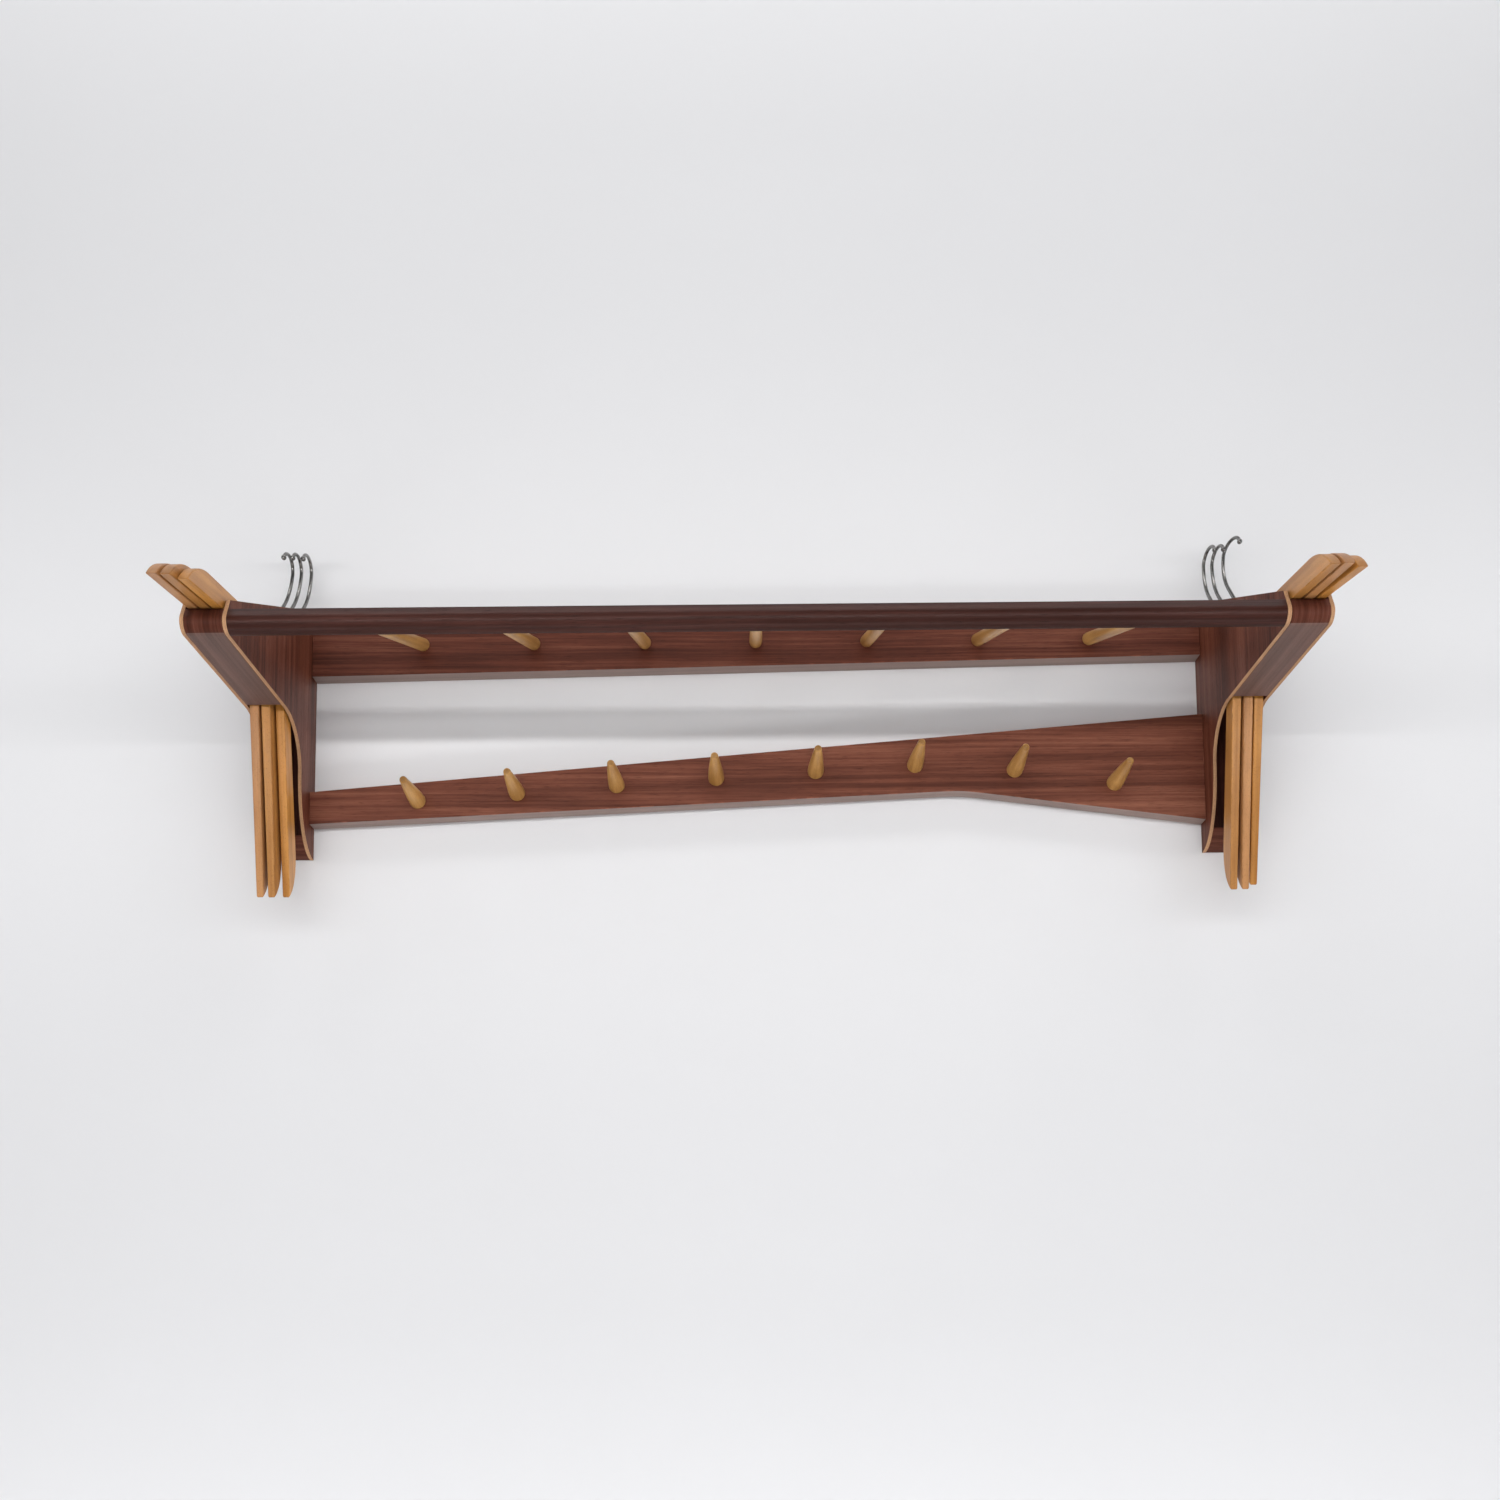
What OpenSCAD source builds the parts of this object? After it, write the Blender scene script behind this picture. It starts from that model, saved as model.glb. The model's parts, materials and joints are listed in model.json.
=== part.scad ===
// Wall-mounted hat and coat rack with a hanger box at each end.
//
// Millimetres. X runs along the wall, -Y towards the room and +Z up. The origin is on the
// wall, half way between the two wall screws. Side shapes are drawn as [depth, height]:
// depth is measured out from the wall, and height up from the lowest point of the cheeks.

/* [Rack] */
// Overall width, over the outer cheeks
rack_w = 1152; // [1100:1:1400]
// Height of the wall screws above the lowest point of the cheeks
screw_h = 278; // [274:0.5:280]
// Distance between the two wall screws
screw_spacing = 661.2; // [640:0.1:680]
// Diameter of the wall screw holes
screw_hole_d = 5; // [4:0.5:6]

/* [Hanger boxes] */
// Width of a hanger box, over its two cheeks
box_w = 47; // [46:1:60]
// Thickness of the plywood cheeks
cheek_t = 4; // [3:0.5:5]
// Height at which the slope of the cheeks meets the wall
cheek_h = 308.4; // [306:0.2:312]
// Slope of the cheeks' top edge, in degrees
cheek_slope = 25; // [24.5:0.1:25.5]
// Depth of the cheeks' top front corner
cheek_reach = 275.5; // [272:0.5:278]
// Height of the straight underside of the cheeks
under_h = 143.4; // [141:0.2:145]
// Depth of the toe, where the cheeks run down the wall
toe_d = 50; // [46:1:54]
// Height of the toe's curve
toe_h = 88; // [80:1:88]
// Radius of the inside bend between toe and underside
knee_r = 55; // [50:1:55]
// Radius of the nose, at the front of the underside
nose_r = 12; // [10:0.5:13]
// Radius of the cheeks' top back corner
back_r = 15; // [12:0.5:16]
// Thickness of the bent floor that the hangers rest on
floor_t = 6.5; // [5:0.5:7]
// Height of the floor's front lip
lip_h = 168.5; // [167.5:0.1:168.5]
// Depth of the floor's rear edge, in front of the hangers' lower arms
slot_d = 110.5; // [110.5:0.5:114]
// Thickness of the back board
back_t = 5; // [4:0.5:6]
// Height of the toe block
toe_block_h = 20; // [16:1:24]

/* [Rails and bar] */
// Thickness of both rails
rail_t = 20; // [18:1:22]
// Height of the upper rail's top edge
upper_top = 290; // [288:0.5:291]
// Height of the upper rail's lower edge at its left end
upper_left = 217.6; // [210:0.2:225]
// Height of the upper rail's lower edge at its right end
upper_right = 235.3; // [228:0.2:238]
// Height of the lower rail's underside at its left end
lower_left = 37.3; // [34:0.1:44]
// Height of the lower rail's top at its left end
lower_left_top = 76.4; // [74:0.1:84]
// Height of the lower rail's underside at its right end
lower_right = 34; // [30:0.1:44]
// Height of the lower rail's top at its right end
lower_right_top = 162.6; // [158:0.1:168]
// Place across of the peak in the lower rail's underside
peak_x = 241.8; // [200:0.2:260]
// Height of that peak
peak_h = 71.4; // [60:0.1:74]
// Radius that softens the peak
peak_r = 220; // [100:10:300]
// Thickness of the front bar, at its thickest
bar_t = 12.3; // [12:0.1:13]
// Height of the front bar's top
bar_top = 168; // [167:0.5:170]

/* [Shelf rungs] */
// Number of rungs in the hat shelf
rung_count = 7; // [5:1:7]
// Distance from rung to rung
rung_pitch = 132.24; // [125:0.01:136]
// Diameter at the upper rail
rung_d = 15; // [13:0.5:16]
// Diameter at the front bar
rung_tip_d = 12; // [10:0.5:12]
// Height of the rungs' centre line at the face of the upper rail
rung_h = 256; // [254:0.5:258]
// Slope of the rungs, in degrees
rung_slope = 21.4; // [21:0.1:21.8]

/* [Coat pegs] */
// Distance from peg to peg
peg_pitch = 117.6; // [110:0.2:120]
// Place of the first peg, from the middle of the rack
peg_first = -400.8; // [-405:0.2:-395]
// Heights of the pegs, from left to right
peg_heights = [64.3, 72.6, 81.1, 88.9, 96.2, 102.6, 95.9, 79.0]; // [64:0.1:103]
// Length of a peg in front of the rail
peg_l = 70; // [55:1:80]
// Diameter of a peg at the rail
peg_d = 19; // [17:0.5:20]
// Diameter of a peg's tip
peg_tip_d = 8.5; // [7:0.5:10]
// Diameter of a peg's tenon
peg_tenon_d = 10; // [8:0.5:11]
// Depth of a peg's tenon in the rail
peg_tenon_l = 14; // [10:1:15]

/* [Hangers] */
// Thickness of a hanger
hanger_t = 10.5; // [9:0.5:10.5]
// Width of a hanger's arms at the crown
arm_w = 20; // [18:0.5:20]
// Width of an arm where its tip starts
tip_w = 23.3; // [21:0.1:24]
// Length of an arm's curved tip
tip_l = 53; // [40:1:55]
// Length of an arm, from the corner of the centre lines to the tip
arm_l = 275; // [250:1:280]
// Radius of the crown's centre line
crown_r = 60; // [56:1:62]
// Depth of the corner of the arms' centre lines, for a hanger in its place
hanger_d = 107.3; // [104:0.1:107.5]
// Angle by which each hanger leans back, from the left end to the right
hanger_lean = [9, 9, 9.5, 9, 9, 11]; // [8:0.5:11]
// How far each hanger is pushed back from its place, from the left end to the right
hanger_back = [0, 2, 12, 3, 1, 0]; // [0:0.5:12]

/* [Hooks] */
// Diameter of the hook's bent wire
wire_d = 4; // [3.5:0.1:4]
// Diameter of the hook's straight stem
stem_d = 4.2; // [4.2:0.1:4.5]
// Length of the straight stem above the crown
stem_l = 124; // [110:1:126]
// Depth of the stem in the crown
stem_depth = 15; // [12:0.5:16]
// Radius of the gentle bend between stem and eye
bend_r = 89; // [60:1:95]
// Angle of the gentle bend, in degrees
bend_angle = 32; // [25:1:35]
// Radius of the hook's eye
eye_r = 15; // [12:0.5:15]
// Angle that the eye goes round, in degrees
eye_sweep = 165; // [140:5:180]
// Diameter of the ball on the wire's end
ball_d = 6; // [5:0.5:6]
// Angle by which each hook leans towards the middle of the rack, from the left end to the right
hook_lean = [4.2, 3.3, 2.2, 2.2, 3.2, 4.2]; // [0:0.1:4.2]
// Angle by which each hook is turned outwards, from the left end to the right
hook_turn = [0, 0, 0, 8, 8, 20]; // [0:1:20]

/* [Screws] */
// Diameter of a cheek screw's shank
shank_d = 3.5; // [3:0.5:4]
// Diameter of a cheek screw's head
head_d = 7; // [6:0.5:8]
// Height of a cheek screw's countersunk head
head_h = 2.2; // [2:0.1:2.5]
// Length of a cheek screw
cheek_screw_l = 32; // [25:1:40]

/* [Hidden] */
SIDES = ["left", "right"];

dark_wood = [0.30, 0.14, 0.11];
veneer = [0.36, 0.18, 0.14];
beech = [0.76, 0.55, 0.29];
steel = [0.62, 0.62, 0.63];
brass = [0.72, 0.58, 0.32];

// Clearances, on the radius: a glued socket, and a stem that turns
socket_gap = 0.05;
turn_gap = 0.06;
// Height that keeps a hanger's arm just clear of the floor's lip
rest_gap = 0.4;

// Rack layout across
outer_x = rack_w / 2;
inner_x = outer_x - box_w;
box_clear = box_w - 2 * cheek_t;
hanger_gap = (box_clear - 3 * hanger_t) / 4;
hanger_pitch = hanger_t + hanger_gap;

// Side shape of the cheeks
slope_tan = tan(cheek_slope);
top_front_h = cheek_h - cheek_reach * slope_tan;
top_front = [cheek_reach, top_front_h];
nose = [front_at(under_h), under_h];

// Front bar: its back is upright, bar_t behind the foremost point of the nose
nose_half = (90 - cheek_slope) / 2;
nose_front = nose[0] - nose_r / tan(nose_half) + nose_r;
bar_back = nose_front - bar_t;

// Screws from inside a box into the ends of the rails and the bar, as [depth, height]
bar_screw = [bar_back + 5.6, 155];
upper_screws = [[rail_t / 2, 250], [rail_t / 2, 276]];
lower_screws_left = [[rail_t / 2, 48], [rail_t / 2, 66]];
lower_screws_right = [[rail_t / 2, 60], [rail_t / 2, 136]];
screws_left = concat(upper_screws, lower_screws_left, [bar_screw]);
screws_right = concat(upper_screws, lower_screws_right, [bar_screw]);

// Angle by which a hook's gentle bend starts inside its stem
bend_lap = 1;

// Length of a shelf rung in its two sockets
rung_root_l = 10;
rung_end_l = 7;

// ---- Drawing in the side plane ----

// Depth of the sloping front face at height h
function front_at(h) = cheek_reach + (top_front_h - h) * slope_tan;

function unit(v) = v / norm(v);

// Arc of radius r that rounds the corner p between the neighbours a and b
function corner(a, p, b, r, steps = 16) =
    let (
        u = unit(a - p),
        v = unit(b - p),
        half = acos(u * v) / 2,
        c = p + unit(u + v) * r / sin(half),
        start = p + u * r / tan(half) - c,
        end = p + v * r / tan(half) - c,
        from = atan2(start[1], start[0]),
        turn = (atan2(end[1], end[0]) - from + 540) % 360 - 180
    )
    [for (i = [0 : steps]) c + r * [cos(from + turn * i / steps), sin(from + turn * i / steps)]];

// Puts a side shape upright at x, with its local z towards -X
module side_plane(x) {
    translate([x, 0, -screw_h]) rotate([90, 0, -90]) children();
}

// Board with a side shape, from x_low to x_low + width
module side_board(x_low, width) {
    side_plane(x_low + width) linear_extrude(width) children();
}

// ---- Hanger boxes ----

toe_curve = [for (a = [-90 : 6 : 0]) [toe_d * cos(a), toe_h * (1 + sin(a))]];

module cheek_shape() {
    polygon(concat(
        toe_curve,
        corner([toe_d, 0], [toe_d, under_h], nose, knee_r),
        corner([0, under_h], nose, top_front, nose_r),
        [top_front],
        corner(top_front, [0, cheek_h], [0, 0], back_r)
    ));
}

module outer_cheek(side) {
    color(veneer) side_board(side < 0 ? -outer_x : outer_x - cheek_t, cheek_t) cheek_shape();
}

// The inner cheek is countersunk for the screws that hold the rails and the bar
module inner_cheek(side) {
    color(veneer) difference() {
        side_board(side < 0 ? -inner_x - cheek_t : inner_x, cheek_t) cheek_shape();
        screws_at(side) screw_shape(socket_gap);
    }
}

// Bent strip: lip, nose and flat floor
module tray_floor(side) {
    lip = [front_at(lip_h), lip_h];
    inward = [-cos(cheek_slope), -sin(cheek_slope)];
    inner_h = under_h + floor_t;
    inner_nose = [front_at(inner_h) - floor_t / cos(cheek_slope), inner_h];
    color(veneer) side_board(box_low(side), box_clear) polygon(concat(
        [[slot_d, under_h]],
        corner([0, under_h], nose, top_front, nose_r),
        [lip, lip + floor_t * inward],
        corner(lip + floor_t * inward, inner_nose, [slot_d, inner_h], nose_r - floor_t),
        [[slot_d, inner_h]]
    ));
}

module back_board(side) {
    top = cheek_h - back_r / tan(nose_half);
    color(dark_wood) side_board(box_low(side), box_clear)
        translate([0, toe_block_h]) square([back_t, top - toe_block_h]);
}

module toe_block(side) {
    color(veneer) side_board(box_low(side), box_clear) intersection() {
        polygon(concat(toe_curve, [[0, toe_h]]));
        square([toe_d, toe_block_h]);
    }
}

// Lowest x of the clear space in a box
function box_low(side) = side < 0 ? -outer_x + cheek_t : inner_x + cheek_t;

// ---- Rails and bar ----

module upper_rail() {
    color(dark_wood) difference() {
        front_board(rail_t, [
            [-inner_x, upper_left], [inner_x, upper_right],
            [inner_x, upper_top], [-inner_x, upper_top]
        ]);
        for (side = [-1, 1]) {
            wall_screw_hole(side * screw_spacing / 2);
            screws_at(side) screw_shape(socket_gap);
        }
        for (i = [1 : rung_count]) rung_line(i) translate([0, 0, -rung_root_l])
            cylinder(d = rung_d + 2 * socket_gap, h = rung_root_l * 2, $fn = 64);
    }
}

module wall_screw_hole(x) {
    countersink_h = 4;
    translate([x, 1, 0]) rotate([90, 0, 0]) cylinder(d = screw_hole_d, h = rail_t + 2, $fn = 48);
    translate([x, -rail_t + countersink_h, 0]) rotate([90, 0, 0])
        cylinder(d1 = screw_hole_d, d2 = 2 * screw_hole_d, h = countersink_h, $fn = 48);
    translate([x, -rail_t, 0]) rotate([90, 0, 0]) cylinder(d = 2 * screw_hole_d, h = 1, $fn = 48);
}

module lower_rail() {
    left_foot = [-inner_x, lower_left];
    right_foot = [inner_x, lower_right];
    color(dark_wood) difference() {
        front_board(rail_t, concat(
            [left_foot],
            corner(left_foot, [peak_x, peak_h], right_foot, peak_r, 8),
            [right_foot, [inner_x, lower_right_top], [-inner_x, lower_left_top]]
        ));
        for (side = [-1, 1]) screws_at(side) screw_shape(socket_gap);
        for (i = [1 : len(peg_heights)]) peg_line(i) translate([0, 0, -peg_tenon_l - 1])
            cylinder(d = peg_tenon_d + 2 * socket_gap, h = peg_tenon_l + 2, $fn = 48);
    }
}

// Board against the wall, from an outline of [x, height]
module front_board(thickness, outline) {
    translate([0, 0, -screw_h]) rotate([90, 0, 0]) linear_extrude(thickness) polygon(outline);
}

module front_bar() {
    color(dark_wood) difference() {
        side_board(-inner_x, 2 * inner_x) polygon(concat(
            corner([0, under_h], nose, top_front, nose_r),
            [[front_at(bar_top), bar_top], [bar_back, bar_top], [bar_back, under_h]]
        ));
        for (side = [-1, 1]) screws_at(side) screw_shape(socket_gap);
        for (i = [1 : rung_count]) rung_line(i) translate([0, 0, rung_span])
            translate([0, 0, -rung_root_l])
                cylinder(d = rung_tip_d + 2 * socket_gap, h = rung_root_l + rung_end_l + 0.2, $fn = 64);
    }
}

// ---- Shelf rungs ----

// Length of a rung's centre line, from the rail's face to the bar's back
rung_span = (bar_back - rail_t) / cos(rung_slope);

// Local z runs down rung i's centre line, from the face of the upper rail to the bar
module rung_line(i) {
    x = (i - (rung_count + 1) / 2) * rung_pitch;
    translate([x, -rail_t, rung_h - screw_h]) rotate([90 + rung_slope, 0, 0]) children();
}

// Dowel that thins towards the front, straight where it is glued in
module shelf_rung(i) {
    straight_l = 8;
    profile = [
        [0, -rung_root_l], [rung_d / 2, -rung_root_l], [rung_d / 2, straight_l],
        [rung_tip_d / 2, rung_span - straight_l], [rung_tip_d / 2, rung_span + rung_end_l],
        [0, rung_span + rung_end_l]
    ];
    color(beech) rung_line(i) rotate_extrude($fn = 64) polygon(profile);
}

// ---- Coat pegs ----

// Local z runs out of the lower rail's face, along peg i
module peg_line(i) {
    translate([peg_first + (i - 1) * peg_pitch, -rail_t, peg_heights[i - 1] - screw_h])
        rotate([90, 0, 0]) children();
}

// Radius of a peg at the part t of its length: a gentle belly, then a thin tip
function peg_r(t) = peg_d / 2 + (peg_tip_d - peg_d) / 2 * pow(t, 1.35);

module coat_peg(i) {
    tip_round = 2.5;
    body = [for (t = [0 : 0.1 : 0.9]) [peg_r(t), t * (peg_l - tip_round)]];
    tip = [for (a = [0 : 18 : 90]) [
        peg_tip_d / 2 - tip_round * (1 - cos(a)),
        peg_l - tip_round * (1 - sin(a))
    ]];
    tenon = [[0, -peg_tenon_l], [peg_tenon_d / 2, -peg_tenon_l], [peg_tenon_d / 2, 0]];
    color(beech) peg_line(i) rotate_extrude($fn = 64) polygon(concat(tenon, body, tip, [[0, peg_l]]));
}

// ---- Hangers and hooks ----

// Hangers are numbered from the middle of the rack outwards on each side
function hanger_slot(side, i) = side < 0 ? 3 - i : 2 + i;
function hanger_x(side, i) =
    side * (inner_x + cheek_t + hanger_gap + hanger_t / 2 + (i - 1) * hanger_pitch);

// Local frame of a hanger in its place: origin at the corner of its centre lines, x along the
// upper arm and -y down the lower one. The upper arm rests on the lip of the floor.
module hanger_place(side, i) {
    lean = hanger_lean[hanger_slot(side, i)];
    depth = hanger_d - hanger_back[hanger_slot(side, i)];
    rise = (front_at(lip_h) - depth) * tan(lean) + arm_w / 2 / cos(lean);
    side_plane(hanger_x(side, i)) translate([depth, lip_h + rest_gap + rise]) rotate(-lean) children();
}

// Frame of a hook's stem: origin on the crown's surface, y out along the stem
module stem_place(side, i) {
    crown_top = crown_r - (crown_r + arm_w / 2) / sqrt(2);
    hanger_place(side, i) translate([crown_top, -crown_top]) rotate(45)
        rotate([side * hook_lean[hanger_slot(side, i)], 0, 0]) children();
}

// Outer edge of an arm's tip, as [along, across] the arm: it curves down to the inner edge
tip_r = (pow(tip_l, 2) + pow(tip_w, 2)) / (2 * tip_w);
tip_sweep = asin(tip_l / tip_r);
tip_curve = [for (k = [0 : 16]) [
    arm_l - tip_l + tip_r * sin(tip_sweep * k / 16),
    tip_w - arm_w / 2 - tip_r * (1 - cos(tip_sweep * k / 16))
]];

module hanger(side, i) {
    w = arm_w / 2;
    outline = concat(
        [for (k = [16 : -1 : 0]) tip_curve[k]],
        corner([arm_l, w], [-w, w], [-w, -arm_l], crown_r + w),
        [for (p = tip_curve) [-p[1], -p[0]]],
        corner([w, -arm_l], [w, -w], [arm_l, -w], crown_r - w)
    );
    color(beech) difference() {
        hanger_place(side, i) translate([0, 0, -hanger_t / 2]) linear_extrude(hanger_t) polygon(outline);
        stem_place(side, i) translate([0, -stem_depth - 0.5, 0]) rotate([-90, 0, 0])
            cylinder(d = stem_d + 2 * turn_gap, h = stem_depth + 5, $fn = 32);
    }
}

// Bent wire: stem in the crown, gentle bend, open eye and a ball on the end
module hook(side, i) {
    turn = side * hook_turn[hanger_slot(side, i)];
    color(steel) stem_place(side, i) rotate([0, turn, 0]) {
        translate([0, -stem_depth, 0]) rotate([-90, 0, 0])
            cylinder(d = stem_d, h = stem_depth + stem_l, $fn = 32);
        translate([bend_r, stem_l]) rotate(180 - bend_angle) {
            mirror([0, 1, 0]) wire_arc(bend_r, bend_angle + bend_lap);
            translate([bend_r - eye_r, 0]) {
                wire_arc(eye_r, eye_sweep);
                rotate(-eye_sweep) translate([eye_r, 0]) sphere(d = ball_d, $fn = 32);
            }
        }
    }
}

// Bend that starts on the local x axis and runs clockwise
module wire_arc(r, sweep) {
    mirror([0, 1, 0]) rotate_extrude(angle = sweep, $fn = 96) translate([r, 0]) circle(d = wire_d, $fn = 32);
}

// ---- Screws ----

// Puts a screw at each screw place of a side: local z runs from the box into the rail's end
module screws_at(side) {
    for (p = side < 0 ? screws_left : screws_right)
        translate([side * (inner_x + cheek_t), -p[0], p[1] - screw_h]) rotate([0, -side * 90, 0]) children();
}

// Countersunk screw, grown by gap on the radius and at the tip
module screw_shape(gap) {
    rotate_extrude($fn = 48) polygon([
        [0, -gap], [head_d / 2 + gap, -gap], [head_d / 2 + gap, 0.3], [shank_d / 2 + gap, head_h],
        [shank_d / 2 + gap, cheek_screw_l - 4], [0.4, cheek_screw_l + gap], [0, cheek_screw_l + gap]
    ]);
}

module cheek_screws(side) {
    color(brass) screws_at(side) screw_shape(0);
}

// ---- Nodes ----

for (s = [0, 1]) {
    side = s == 0 ? -1 : 1;
    outer_cheek(side);
    inner_cheek(side);
    tray_floor(side);
    back_board(side);
    toe_block(side);
    cheek_screws(side);
    for (i = [1 : 3]) {
        hanger(side, i);
        hook(side, i);
    }
}
upper_rail();
lower_rail();
front_bar();
for (i = [1 : rung_count])
    shelf_rung(i);
for (i = [1 : len(peg_heights)])
    coat_peg(i);
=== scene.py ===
"""Wall hat and coat rack with two boxes of hangers: the visual model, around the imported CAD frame.

Row frame, in metres: +X along the wall, -Y towards the room, +Z up. Side shapes are drawn as
(depth, height): depth is measured out from the wall, and height up from the foot of the cheeks.
"""
import json
import math
import random

import bmesh
import bpy
from mathutils import Matrix, Vector


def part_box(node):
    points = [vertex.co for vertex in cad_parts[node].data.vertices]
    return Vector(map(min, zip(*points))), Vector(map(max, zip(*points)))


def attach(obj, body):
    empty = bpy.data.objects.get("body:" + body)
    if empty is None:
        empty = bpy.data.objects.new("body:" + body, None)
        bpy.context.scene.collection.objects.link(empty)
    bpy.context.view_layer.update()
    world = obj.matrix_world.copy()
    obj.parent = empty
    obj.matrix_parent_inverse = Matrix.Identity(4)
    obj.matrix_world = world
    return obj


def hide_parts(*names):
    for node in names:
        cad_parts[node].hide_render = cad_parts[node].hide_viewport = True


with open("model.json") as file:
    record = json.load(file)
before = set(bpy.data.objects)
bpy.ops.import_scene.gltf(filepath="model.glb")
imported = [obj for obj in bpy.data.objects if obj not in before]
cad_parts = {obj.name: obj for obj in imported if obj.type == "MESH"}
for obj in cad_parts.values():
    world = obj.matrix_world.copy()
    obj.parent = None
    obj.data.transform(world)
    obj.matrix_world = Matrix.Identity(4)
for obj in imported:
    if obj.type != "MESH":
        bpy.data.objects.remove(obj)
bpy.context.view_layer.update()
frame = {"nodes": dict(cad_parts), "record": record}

random.seed(7)

# ---- Dimensions, in metres and from the frame where it has them; heights are above the foot ----

FOOT_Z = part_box("left_outer_cheek")[0].z
OUTER_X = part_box("right_outer_cheek")[1].x
INNER_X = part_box("right_inner_cheek")[0].x
PLY = OUTER_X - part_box("right_outer_cheek")[0].x

# Hanger boxes: the cheeks' outline, the bent strip under them, and the front bar
UNDER_H = 0.1434
CHEEK_TOP_H = 0.3084
CHEEK_SLOPE = math.radians(25)
CHEEK_REACH = 0.2755
TOE_D, TOE_H = 0.050, 0.088
KNEE_R, NOSE_R, BACK_R = 0.055, 0.012, 0.015
FLOOR_T, LIP_H, SLOT_D = 0.0065, 0.1685, 0.1105
BAR_T, BAR_TOP = 0.0123, 0.168

# Rails: thickness, and the heights of their edges at each end
RAIL_T = -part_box("upper_rail")[0].y
UPPER_LEFT_H, UPPER_RIGHT_H, UPPER_TOP_H = 0.2176, 0.2353, 0.290
LOWER_LEFT_H, LOWER_LEFT_TOP_H = 0.0373, 0.0764
LOWER_RIGHT_H, LOWER_RIGHT_TOP_H = 0.034, 0.1626
LOWER_PEAK, LOWER_PEAK_R = (0.2418, 0.0714), 0.220

# Hangers: arms and tips, then where the crown sits; lean in degrees and distance pushed back, for each
ARM_W, ARM_L, CROWN_R = 0.020, 0.275, 0.060
TIP_W, TIP_L = 0.0233, 0.053
HANGER_T = 0.0105
TIP_STRETCH, UPPER_TIP_THINNING, LOWER_TIP_THINNING = 0.022, 0.40, 0.75
HANGER_D = 0.1073
REST_GAP = 0.0004
LEAN = {"left_hanger_3": 9, "left_hanger_2": 9, "left_hanger_1": 9.5,
        "right_hanger_1": 9, "right_hanger_2": 9, "right_hanger_3": 11}
PUSHED_BACK = {"left_hanger_3": 0, "left_hanger_2": 0.002, "left_hanger_1": 0.012,
               "right_hanger_1": 0.003, "right_hanger_2": 0.001, "right_hanger_3": 0}

# Hooks: wire, stem, bend and eye; sideways lean and swivel in degrees, for each
WIRE_R, STEM_R, BALL_R = 0.0020, 0.0021, 0.003
STEM_L, STEM_DEPTH = 0.124, 0.015
BEND_R, EYE_R = 0.089, 0.015
BEND_ANGLE, EYE_SWEEP = math.radians(32), math.radians(165)
HOOK_LEAN = {"left_hook_3": 4.2, "left_hook_2": 3.3, "left_hook_1": 2.2,
             "right_hook_1": 2.2, "right_hook_2": 3.2, "right_hook_3": 4.2}
HOOK_TURN = {"left_hook_3": 0, "left_hook_2": 0, "left_hook_1": 0,
             "right_hook_1": 8, "right_hook_2": 8, "right_hook_3": 20}

# Turned pieces, and how much of their tenons is modelled
RUNG_R, RUNG_TIP_R = 0.0075, 0.006
RUNG_SLOPE = math.radians(21.4)
RUNG_H = 0.256
PEG_L, PEG_R, PEG_TIP_R, PEG_TIP_ROUND = 0.070, 0.0095, 0.00425, 0.0025
TENON_R, TENON_SHOWN = 0.005, 0.004

# Cheek screws: radii, and their places out from the wall and up
SCREW_HEAD_R, SCREW_SHANK_R, SCREW_CLEAR = 0.0035, 0.0018, 0.0001
SCREW_D = 0.010
UPPER_SCREWS_H = (0.250, 0.276)
LOWER_SCREWS_H = {-1: (0.048, 0.066), 1: (0.060, 0.136)}
BAR_SCREW_H = 0.155

# Width of the rounding on each kind of piece's edges
CHEEK_EDGE, STRIP_EDGE, HIDDEN_EDGE = 0.0006, 0.0007, 0.0004
RAIL_EDGE, BAR_EDGE, HANGER_EDGE = 0.0009, 0.0012, 0.0011

TOP_FRONT_H = CHEEK_TOP_H - CHEEK_REACH * math.tan(CHEEK_SLOPE)


def front_at(h):
    """Depth of the cheeks' sloping front face at height h."""
    return CHEEK_REACH + (TOP_FRONT_H - h) * math.tan(CHEEK_SLOPE)


TOP_FRONT = Vector((CHEEK_REACH, TOP_FRONT_H))
NOSE = Vector((front_at(UNDER_H), UNDER_H))
NOSE_FRONT = NOSE.x - NOSE_R / math.tan((math.pi / 2 - CHEEK_SLOPE) / 2) + NOSE_R
BAR_BACK = NOSE_FRONT - BAR_T


def row(x, d, h):
    """Row position of a place in the side plane at x."""
    return Vector((x, -d, h + FOOT_Z))


# ---- Outlines ----

def corner(a, p, b, r, steps=24):
    """Arc of radius r that rounds the corner p between the neighbours a and b."""
    a, p, b = Vector(a), Vector(p), Vector(b)
    u, v = (a - p).normalized(), (b - p).normalized()
    half = math.acos(u.dot(v)) / 2
    centre = p + (u + v).normalized() * r / math.sin(half)
    start, end = p + u * r / math.tan(half) - centre, p + v * r / math.tan(half) - centre
    begin = math.atan2(start.y, start.x)
    turn = (math.atan2(end.y, end.x) - begin + 3 * math.pi) % (2 * math.pi) - math.pi
    angles = [begin + turn * i / steps for i in range(steps + 1)]
    return [centre + r * Vector((math.cos(t), math.sin(t))) for t in angles]


TOE_CURVE = [Vector((TOE_D * math.cos(math.radians(a)), TOE_H * (1 + math.sin(math.radians(a)))))
             for a in range(-90, 1, 4)]


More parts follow.
